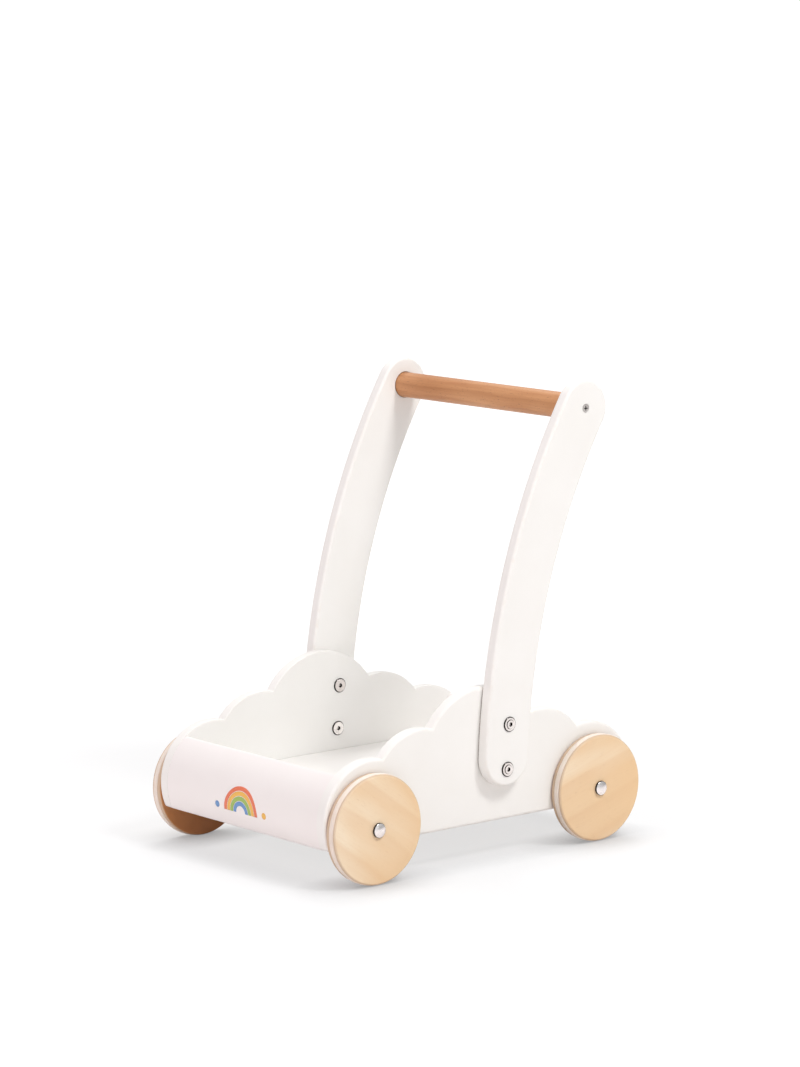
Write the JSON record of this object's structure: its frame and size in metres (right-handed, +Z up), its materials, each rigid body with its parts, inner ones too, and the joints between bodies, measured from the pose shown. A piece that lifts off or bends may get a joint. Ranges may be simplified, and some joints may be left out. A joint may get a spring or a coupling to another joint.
{
  "type": "baby walker",
  "caption": "Wooden push-along walker: a toy tray with cloud-shaped sides on disc wheels, pushed by a round bar held between two curved arms.",
  "frame": {"origin": "on the ground, midway between the axles and between the two sides: the centre of the bounding box's lower face", "axes": "+Z up, -Y the way the walker is pushed (+Y is the handle side), +X the walker's left side"},
  "size_m": [0.2918, 0.381, 0.45],
  "materials": {
    "white_paint": "satin white paint on board",
    "maple": "clear matt lacquer",
    "beech": "oiled",
    "rubber": "matt cream",
    "steel": "drawn rod",
    "chrome": "polished",
    "nickel": "nickel plated",
    "nylon": "natural nylon"
  },
  "bodies": {
    "walker_frame": {"side_panel_left": "white_paint", "side_panel_right": "white_paint", "front_panel": "white_paint", "rear_panel": "white_paint", "tray_floor": "white_paint", "front_dowels": "beech", "rear_dowels": "beech", "axle_front": "steel", "axle_rear": "steel", "hub_cap_front_left": "chrome", "hub_cap_front_right": "chrome", "hub_cap_rear_left": "chrome", "hub_cap_rear_right": "chrome", "washer_front_left": "nylon", "washer_front_right": "nylon", "washer_rear_left": "nylon", "washer_rear_right": "nylon", "handle_arm_left": "white_paint", "handle_arm_right": "white_paint", "handle_bar": "beech", "bar_screw_left": "nickel", "bar_screw_right": "nickel", "upper_bolt_left": "nickel", "upper_bolt_right": "nickel", "lower_bolt_left": "nickel", "lower_bolt_right": "nickel", "upper_nut_left": "nickel", "upper_nut_right": "nickel", "lower_nut_left": "nickel", "lower_nut_right": "nickel"},
    "front_left_wheel": {"wheel_front_left": "maple", "tyre_front_left": "rubber"},
    "front_right_wheel": {"wheel_front_right": "maple", "tyre_front_right": "rubber"},
    "rear_left_wheel": {"wheel_rear_left": "maple", "tyre_rear_left": "rubber"},
    "rear_right_wheel": {"wheel_rear_right": "maple", "tyre_rear_right": "rubber"}
  },
  "joints": [
    {"name": "front_left_wheel_spin", "type": "hinge", "parent": "walker_frame", "child": "front_left_wheel", "pos_m": [0.1355, -0.138, 0.0525], "axis": [1, 0, 0], "continuous": true},
    {"name": "front_right_wheel_spin", "type": "hinge", "parent": "walker_frame", "child": "front_right_wheel", "pos_m": [-0.1355, -0.138, 0.0525], "axis": [1, 0, 0], "continuous": true},
    {"name": "rear_left_wheel_spin", "type": "hinge", "parent": "walker_frame", "child": "rear_left_wheel", "pos_m": [0.1355, 0.138, 0.0525], "axis": [1, 0, 0], "continuous": true},
    {"name": "rear_right_wheel_spin", "type": "hinge", "parent": "walker_frame", "child": "rear_right_wheel", "pos_m": [-0.1355, 0.138, 0.0525], "axis": [1, 0, 0], "continuous": true}
  ]
}
